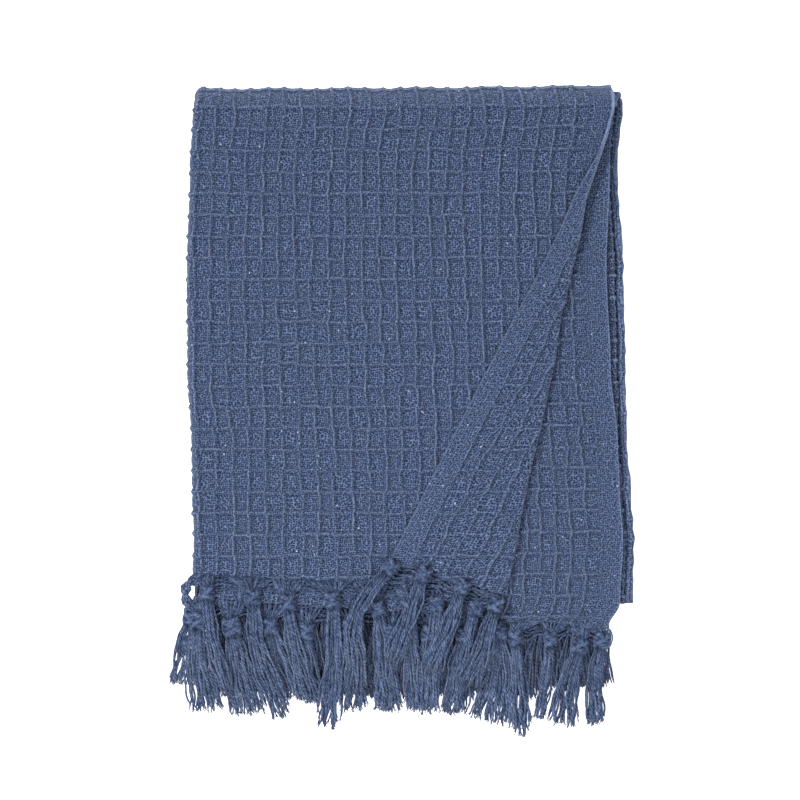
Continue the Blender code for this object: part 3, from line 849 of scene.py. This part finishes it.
def hem_points(name, x, below):
    """Points a distance beyond a cut edge, in the middle of the cloth's thickness."""
    row = ROWS[name]
    edges = run_edges(row.run, float(hem_at(row.run, np.array(1), np.array(0.5))))
    left = edges[0] + SHEET / 2 + (TOP_LAYER if row.layer < 3 else INNER_FOLD_IN + INNER_LAYER)
    right = edges[{1: 1, 4: 2}.get(row.layer, 3)]
    layer = np.full(x.shape, row.layer)
    y = hem_at(row.run, layer, (x - left) / (right - left)) - below
    z = row_height(row, 0.0, y)
    if name == "fringe_flap":
        x, y, lift = turned_back(x, y)
        z = z + lift
    return np.stack((x, y, z), axis=-1)


def tassel_height(name, y):
    """The height of the middle of a row's tassels."""
    turned = 2 * FLAP_BEND if name == "fringe_flap" else 0.0
    return row_height(ROWS[name], ROWS[name].rise * MM, y) + turned * fall_at(y)


class Yarns:
    """Tubes gathered for one mesh."""

    def __init__(self):
        self.points, self.faces, self.uv, self.shades = [], [], [], []
        self.count = 0

    def add(self, paths, radii, sides, shades, up=(0.0, 0.0, 1.0)):
        """Tubes along paths: an array of tubes by places by 3, their radii, and their shades."""
        tubes, places = paths.shape[:2]
        tangent = unit(np.gradient(paths, axis=1))
        side = unit(np.cross(tangent, np.broadcast_to(up, paths.shape)))
        over = np.cross(tangent, side)
        angle = np.arange(sides) * 2 * math.pi / sides
        ring = side[:, :, None] * np.cos(angle)[:, None] + over[:, :, None] * np.sin(angle)[:, None]
        radii = np.broadcast_to(radii, (tubes, places))
        self.points.append((paths[:, :, None] + radii[:, :, None, None] * ring).reshape(-1, 3))
        index = self.count + np.arange(tubes * places * sides).reshape(tubes, places, sides)
        here, there = index[:, :-1], index[:, 1:]
        quads = np.stack((here, np.roll(here, -1, 2), np.roll(there, -1, 2), there), axis=-1)
        self.faces += [quads.reshape(-1, 4), index[:, 0, ::-1], index[:, -1]]
        step = np.linalg.norm(np.diff(paths, axis=1), axis=2)
        run = np.concatenate((np.zeros((tubes, 1)), np.cumsum(step, axis=1)), axis=1) / TWIST
        run = run + np.arange(tubes)[:, None] * 0.37
        u = np.arange(sides) / sides
        rounds = run[:, :-1, None], run[:, 1:, None], u
        near, far, low = (np.broadcast_to(values, here.shape) for values in rounds)
        high = low + 1 / sides
        corners = ((low, near), (high, near), (high, far), (low, far))
        self.uv.append(np.stack([np.stack(c, axis=-1) for c in corners], axis=-2))
        for end, order in ((0, -1), (-1, 1)):
            ends = np.broadcast_to(run[:, end, None], (tubes, sides))
            self.uv.append(np.stack((np.broadcast_to(u[::order], (tubes, sides)), ends), axis=-1))
        shades = np.broadcast_to(np.reshape(shades, (len(shades), -1)), (tubes, places))
        self.shades.append(np.repeat(shades.ravel(), sides))
        self.count += tubes * places * sides

    def piece(self, name, finish):
        points, shade = np.concatenate(self.points), np.concatenate(self.shades)
        return make_piece(name, points, self.faces, self.uv, {"shade": shade}, finish)


def curve(points, share):
    """Points at shares of the way along a smooth curve through an array of points."""
    points = np.asarray(points, float)
    length = np.linalg.norm(np.diff(points, axis=0), axis=1)
    at = np.concatenate(((0.0,), np.cumsum(length))) / length.sum()
    slopes = np.gradient(points, at, axis=0)
    k = np.clip(np.searchsorted(at, share, side="right") - 1, 0, len(at) - 2)
    h = (at[k + 1] - at[k])[..., None]
    t = ((share - at[k]) / (at[k + 1] - at[k]))[..., None]
    return (
        (2 * t**3 - 3 * t**2 + 1) * points[k]
        + (t**3 - 2 * t**2 + t) * h * slopes[k]
        + (3 * t**2 - 2 * t**3) * points[k + 1]
        + (t**3 - t**2) * h * slopes[k + 1]
    )


# The knot of a tassel of the common number of yarns
COMMON_YARNS = 22
KNOT_HALF = 5.8 * MM  # half of its width
KNOT_LONG = 5.8 * MM  # half of its length
KNOT_THICK = 4.6 * MM  # half of its height
WOUND = 2.2 * MM  # the thickness of the turns in both

# How a tassel is made: the places along a yarn below the knot, its sides, half of the yarns' spread
# in the knot, and how much lighter they are painted, which on the covered rows is painted shade
Detail = namedtuple("Detail", "places sides spread tone")
SHOWN = Detail(26, 5, 3.4 * MM, 0.0)
COVERED = Detail(10, 4, 9.0 * MM, -0.6)


def fan_out(tassel, a, b, way, side, size, share, dice):
    """The spots of the yarns below a knot, how far they lie over the middle, and how far down."""
    n = tassel.yarns
    length = 1 + dice.normal(0, 0.030, n) - 0.04 * np.abs(a) ** 3
    spots = curve(way, np.clip(share * length[:, None], 0, 1.1))
    far = share * np.linalg.norm(np.diff(way, axis=0), axis=1).sum()
    course = unit(np.gradient(spots, axis=1))
    across = np.stack((-course[..., 1], course[..., 0]), axis=-1)
    across = across * np.sign(np.dot(across[0, 0], side))
    lock = np.round(a * 1.5 + 0.2 * math.sin(tassel.root)) / 1.5
    gathered = mix(a[:, None], lock[:, None], 0.13 * ease(share * 1.3))
    half = mix(KNOT_HALF * 0.6 * size, tassel.width * MM / 2, share**0.8)
    phase = dice.uniform(0, 2 * math.pi, (3, n, 1))
    wave = 0.45 * np.sin(far / (3.2 * MM) + phase[0]) + 0.9 * np.sin(far / (7.0 * MM) + phase[1])
    sway = (wave * ease(share * 4) * (0.55 + 0.6 * share)) * MM * 1.05
    lean = dice.normal(0, 1.3, (n, 1)) * np.sin(share * 2.6 + phase[2])
    sway = sway + lean * ease(share * 3) * MM
    spots = spots + across * (gathered * half + sway)[..., None]
    over = b[:, None] * mix(2.6, 1.2, share) * MM
    return spots, over + 0.35 * MM * np.sin(far / (6.0 * MM) + phase[2]), far


def add_tassel(yarns, name, tassel, dice, detail):
    """Yarns drawn together from the cut edge, through a knot, and fanning out to their tips."""
    n = tassel.yarns
    size = math.sqrt(n / COMMON_YARNS)
    a = np.linspace(-1, 1, n) + dice.normal(0, 0.35 / n, n)
    b = np.where(np.arange(n) % 2 == 0, 0.6, -0.6) + dice.uniform(-0.4, 0.4, n)
    knot, via, tip = np.reshape(tassel[2:8], (3, 2)) * MM
    down = unit(via - knot)
    bunched = mix(a, np.round(a * 3.2) / 3.2, 0.7)
    hem = (tassel.root + bunched * tassel.reach) * MM
    inside = hem_points(name, hem, -1.2 * MM)
    edge = hem_points(name, hem, 0.8 * MM)
    side = np.array((-down[1], down[0]))
    if np.dot(side, (edge[-1] - edge[0])[:2]) < 0:
        side = -side

    def level(spots, over):
        z = tassel_height(name, spots[..., 1]) + over
        return np.concatenate((spots, z[..., None]), axis=-1)

    spread = (a * size * detail.spread)[:, None]
    entry = level(knot - down * KNOT_LONG * 0.8 * size + side * spread, b * 1.2 * MM)
    centre = level(knot + side * spread, b * 1.2 * MM)
    half_way = mix(edge, entry, 0.55)
    half_way[:, :2] += dice.normal(0, 0.5 * MM, (n, 2))
    share = np.linspace(0, 1, detail.places)
    way = np.stack((knot + down * KNOT_LONG * 0.7 * size, via, tip))
    spots, over, far = fan_out(tassel, a, b, way, side, size, share, dice)
    above = np.stack((inside, edge, half_way, entry, centre), axis=1)
    paths = np.concatenate((above, level(spots, over)), axis=1)
    radii = np.full(paths.shape[:2], YARN)
    radii[:, 0] *= 0.6
    radii[:, 5:] *= 1 + 0.22 * share
    radii[:, -1] *= 0.5
    radii = radii * dice.uniform(0.85, 1.1, (n, 1))
    # each yarn's own random tone, with painted shade on the covered rows
    shades = dice.uniform(0, 1, n) + detail.tone
    # painted shade on the yarns where they crowd into the knot, fading above and below it
    root = hem_points(name, np.array((tassel.root * MM,)), 0.0)[0, :2]
    drawn = np.linalg.norm(root - knot)
    away = np.concatenate(((drawn, drawn, 0.6 * drawn, 0.0, 0.0), far))
    yarns.add(paths, radii, detail.sides, shades[:, None] - 1.5 * bell(away, 4.0 * MM))
    if detail is SHOWN:
        add_wisps(yarns, paths, shades, dice)
        middle = np.array((*knot, tassel_height(name, knot[1])))
        add_knot(yarns, middle, down, side, size, dice)


WISPS = 4
WISP_RADII = np.array((0.55, 0.42, 0.18)) * MM


def add_wisps(yarns, paths, shades, dice):
    """The thin plies that a yarn opens into at its cut end."""
    n = len(paths)
    last = paths[:, -1]
    course = unit(last - paths[:, -3])
    for _ in range(WISPS):
        lean = np.stack([dice.normal(0, much, n) for much in (0.30, 0.10, 0.10)], axis=1)
        ahead = unit(course + lean)
        far = dice.uniform(1.2, 4.6, n)[:, None] * MM
        bend = np.stack((dice.normal(0, 0.9, n), np.zeros(n), np.zeros(n)), axis=1) * MM
        spots = [last - course * 2.5 * MM, last + ahead * far * 0.4, last + ahead * far + bend]
        yarns.add(np.stack(spots, axis=1), WISP_RADII, 3, shades + 0.6)


# The turns of a knot: the place along it, and the slant
Winding = namedtuple("Winding", "place slant")
WINDINGS = (Winding(-0.52, -0.35), Winding(0.50, -0.25), Winding(0.0, 0.72))
STRANDS = 5  # in each of them


def add_knot(yarns, centre, down, side, size, dice):
    """An overhand knot: turns of strands wound over a core, the last of them slanting across.

    Each turn is painted lighter in the middle and darker at the sides, the core darker, as shade.
    """
    along, across, up = np.array(((*down, 0.0), (*side, 0.0), (0.0, 0.0, 1.0)))
    angle = np.linspace(-0.3 * math.pi, 1.3 * math.pi, 15)
    slope = -1 if dice.uniform() < 0.35 else 1
    for number, turn in enumerate(WINDINGS):
        offset = np.linspace(-1, 1, STRANDS)[:, None]
        bulge = (np.sqrt(1.15 - offset**2) * 1.1 + 0.35 * number) * MM
        place = turn.place + dice.normal(0, 0.05) + offset * 0.16 * STRANDS / 3
        slant = slope * turn.slant * dice.uniform(0.8, 1.2)
        rim = np.sqrt(np.clip(1 - (place * 0.85) ** 2, 0.1, 1))
        spot = (place + slant * np.cos(angle)) * KNOT_LONG * size
        out = (rim * (KNOT_HALF - WOUND) + bulge) * size * np.cos(angle)
        top = (rim * (KNOT_THICK - WOUND) + bulge) * size * np.sin(angle)
        spots = centre + spot[..., None] * along + out[..., None] * across + top[..., None] * up
        # painted shading: each turn lighter in its middle strands and darker at its sides
        shades = dice.uniform(0.5, 1.3, STRANDS) - offset[:, 0] ** 2
        yarns.add(spots, YARN * 1.05, 5, shades, up=along)
    core = np.linspace(-0.8, 0.8, 7)
    path = centre + (core * KNOT_LONG * size)[:, None] * along
    width = np.sqrt(1 - core**2 * 0.9) * (KNOT_THICK - YARN) * size
    # the core, painted darker as shade between the turns
    for k in (-1, 0, 1):
        yarns.add((path + across * k * 2.4 * MM * size)[None], width[None], 8, np.array((-0.4,)))


def add_picks(yarns, name, dice):
    """The last threads across the cloth, loose along its cut edge and drawn down at the knots."""
    x = np.linspace(*PICK_SPANS[name], 150) * MM
    roots = np.array([tassel.root for tassel in TASSELS[name]]) * MM
    dip = bell(x[:, None] - roots, 6.0 * MM).sum(axis=1)
    for k in range(PICKS):
        phase = dice.uniform(0, 2 * math.pi, 3)
        ripple = 0.6 * np.sin(x / (3.1 * MM) + phase[0]) + 0.9 * np.sin(x / (8.3 * MM) + phase[1])
        below = (0.4 + 1.5 * k + ripple) * MM + dip * (0.4 + 0.8 * k) * MM
        points = hem_points(name, x, below)
        woven = 0.75 * (-1) ** k + 0.5 * np.sin(x / (2.4 * MM) + phase[2])
        points[:, 2] += woven * MM
        yarns.add(points[None], 0.66 * MM, 5, dice.uniform(-0.4, 0.8, 1))


def covered_tassels(name, number, dice):
    """Even tassels for a row that other rows cover, shifted from row to row."""
    row = ROWS[name]
    tassels = []
    for k in range(COVERED_TASSELS):
        share = (k + (1 + 2 * (number % 3)) / 6) / COVERED_TASSELS
        x = mix(COVERED_LEFT, COVERED_RIGHT, share) + dice.uniform(-2, 2)
        hem_y = float(hem_at(row.run, np.array(row.layer), np.array(share))) / MM
        knot_y = hem_y - dice.uniform(10, 13)
        tip_x = x + dice.uniform(-5, 5)
        tip_y = dice.uniform(-216, -208) if x < 100 else dice.uniform(-212, -203)
        tassels.append(Tassel(x, 13, x, knot_y, mix(x, tip_x, 0.4), -185, tip_x, tip_y, 25, 18))
    return tassels


def add_strays(yarns, dice):
    """Three yarns that hang loose at the right end of the row."""
    row = ROWS["fringe_2"]
    for shift in (-1.6, 0.4, 1.7):
        ahead = (157 + shift, -169), (155 + 1.2 * shift, -178 + shift)
        way = np.array(((150, -160), (155.5 + 0.4 * shift, -163), *ahead))
        spots = curve(way * MM, np.linspace(0, 1, 16))
        height = row_height(row, 1.0 * MM, spots[:, 1])
        yarns.add(np.column_stack((spots, height))[None], 0.6 * MM, 5, dice.uniform(0.4, 1, 1))


# The way of the cord at the left corner, in millimetres
CORNER_CORD = (
    (-148, -122, 36.5), (-154.5, -126, 38), (-160.5, -130.5, 38.5), (-161.5, -137, 37.5),
    (-159.8, -146, 36.5), (-157.5, -157, 36),
)


def add_corner_cord(yarns, dice):
    """Two twisted plies of three yarns, from the cloth's left corner down to the knot below it."""
    share = np.linspace(0, 1, 34)
    middle = curve(np.array(CORNER_CORD) * MM, share)
    course = unit(np.gradient(middle, axis=0))
    side = unit(np.cross(course, (0.0, 0.0, 1.0)))
    over = np.cross(side, course)

    def round_about(turns, start, radius):
        angle = start + share * turns * 2 * math.pi
        return radius * (side * np.cos(angle)[:, None] + over * np.sin(angle)[:, None])

    for ply in range(2):
        for k in range(3):
            wide = round_about(2.4, ply * math.pi, 2.2 * MM)
            fine = round_about(-5.0, k * 2 * math.pi / 3, 1.2 * MM)
            yarns.add((middle + wide + fine)[None], 1.2 * MM, 5, dice.uniform(0.2, 0.9, 1))


def fringe_pieces(finish):
    """The yarns of each row, with the loose threads along the edges that show."""
    pieces = []
    for number, name in enumerate(ROWS):
        dice = np.random.default_rng(40 + number)
        yarns = Yarns()
        detail = SHOWN if name in TASSELS else COVERED
        for tassel in TASSELS.get(name) or covered_tassels(name, number, dice):
            add_tassel(yarns, name, tassel, dice, detail)
        if detail is SHOWN:
            add_picks(yarns, name, dice)
        if name == "fringe_2":
            add_strays(yarns, dice)
            add_corner_cord(yarns, dice)
        piece = yarns.piece("yarns" + name[len("fringe") :], finish)
        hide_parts(name)
        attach(piece, "root")
        pieces.append(piece)
    return pieces


cloth_finish = cloth_material()
yarn_finish = yarn_material()
face, under, stack = cloth_pieces(cloth_finish)
for piece in (face, under, stack):
    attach(piece, "root")
    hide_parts("waffle_cloth")
fringe = fringe_pieces(yarn_finish)


# ---- floor, light and camera
FLOOR_HALF = 2.5
FLOOR_BELOW = 0.4 * MM  # how far it lies under the throw
FLOOR_SURFACE = {
    "Base Color": (0.93, 0.93, 0.93, 1.0),
    "Emission Color": (1.0, 1.0, 1.0, 1.0),
    "Emission Strength": 0.9,
    "Roughness": 0.9,
    "Specular IOR Level": 0.1,
}


def add_floor():
    mesh = bpy.data.meshes.new("floor")
    corners = ((-1, -1), (1, -1), (1, 1), (-1, 1))
    points = [(x * FLOOR_HALF, y * FLOOR_HALF, -FLOOR_BELOW) for x, y in corners]
    mesh.from_pydata(points, [], [(0, 1, 2, 3)])
    g = Graph("pale_floor")
    g.set_surface(FLOOR_SURFACE)
    mesh.materials.append(g.material)
    floor = placed("floor", mesh)


# Each light's place and size in metres, and its power
LIGHTS = {
    "key": ((-2.5, 1.7, 3.7), 1.1, 221.0),
    "rim": ((-0.6, 3.4, 0.5), 1.6, 38.0),
    "side": ((2.6, 0.4, 0.6), 1.5, 8.0),
    "fill": ((-0.1, -0.8, 1.2), 0.8, 17.0),
}


def add_light(name, place, size, energy):
    """A square light that faces the middle of the scene."""
    data = bpy.data.lights.new(name, "AREA")
    data.size = size
    data.energy = energy
    light = placed(name, data)
    light.location = place
    aim = -np.array(place)
    light.rotation_euler = (
        math.atan2(math.hypot(aim[0], aim[1]), -aim[2]),
        0.0,
        math.atan2(aim[0], -aim[1]) + math.pi,
    )


def add_stage():
    add_floor()
    for name, (place, size, energy) in LIGHTS.items():
        add_light(name, place, size, energy)
    world = bpy.data.worlds.new("studio")
    world.use_nodes = True
    sky = world.node_tree.nodes["Background"]
    sky.inputs["Color"].default_value = (1.0, 1.0, 1.0, 1.0)
    sky.inputs["Strength"].default_value = 0.26
    bpy.context.scene.world = world
    bpy.context.scene.view_settings.view_transform = "Standard"


VIEW_WIDTH = 800 * 0.75 * MM  # what the picture shows at the height of the face
VIEW_HEIGHT = 6.0
VIEW_CENTRE = (0.02 * MM, 7.8 * MM)
TOP_HEIGHT = BASE + 3 * BUNDLE + TOP_LAYER
SENSOR = 36.0  # its width in the camera's millimetres


def add_camera():
    """A camera straight above, far enough away for an almost parallel view."""
    data = bpy.data.cameras.new("camera")
    data.sensor_width = SENSOR
    data.lens = SENSOR * (VIEW_HEIGHT - TOP_HEIGHT) / VIEW_WIDTH
    camera = placed("camera", data)
    camera.location = (*VIEW_CENTRE, VIEW_HEIGHT)
    bpy.context.scene.camera = camera


add_stage()
add_camera()
